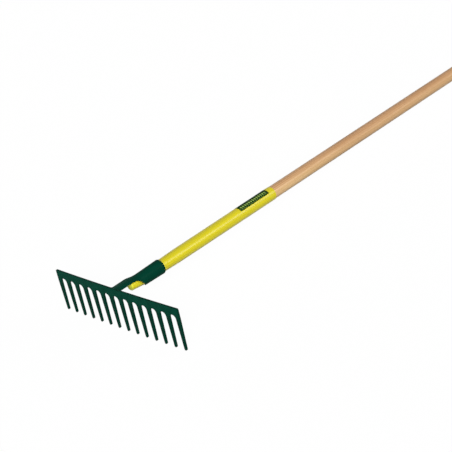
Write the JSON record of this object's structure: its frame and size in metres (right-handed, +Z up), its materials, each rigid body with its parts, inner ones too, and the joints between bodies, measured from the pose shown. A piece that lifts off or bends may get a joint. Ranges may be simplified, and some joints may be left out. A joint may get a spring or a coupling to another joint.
{
  "type": "garden rake",
  "caption": "Level-head garden rake: toothed steel comb welded to the tongue of a rolled sheet socket, nailed to a long round wooden handle with a plastic sleeve on its lower end.",
  "frame": {"origin": "middle of the footprint on the ground, with the tooth tips and the lowest line of the handle's butt resting on Z = 0", "axes": "+Y runs along the handle from the comb to the butt, +X is across the comb, +Z is up"},
  "size_m": [0.352, 1.542, 0.0909],
  "materials": {
    "green_paint": "dark green gloss stoving paint",
    "socket_paint": "dark green gloss stoving paint",
    "weld_paint": "painted weld bead",
    "nail_paint": "painted steel nail",
    "handle_wood": "smooth waxed hardwood",
    "yellow_plastic": "glossy yellow shrink sleeve",
    "label_film": "dark green film, blank"
  },
  "bodies": {
    "root": {"comb": "green_paint", "socket": "socket_paint", "weld_upper": "weld_paint", "weld_under": "weld_paint", "socket_nail": "nail_paint", "handle": "handle_wood", "handle_sleeve": "yellow_plastic", "handle_label": "label_film"}
  },
  "joints": []
}
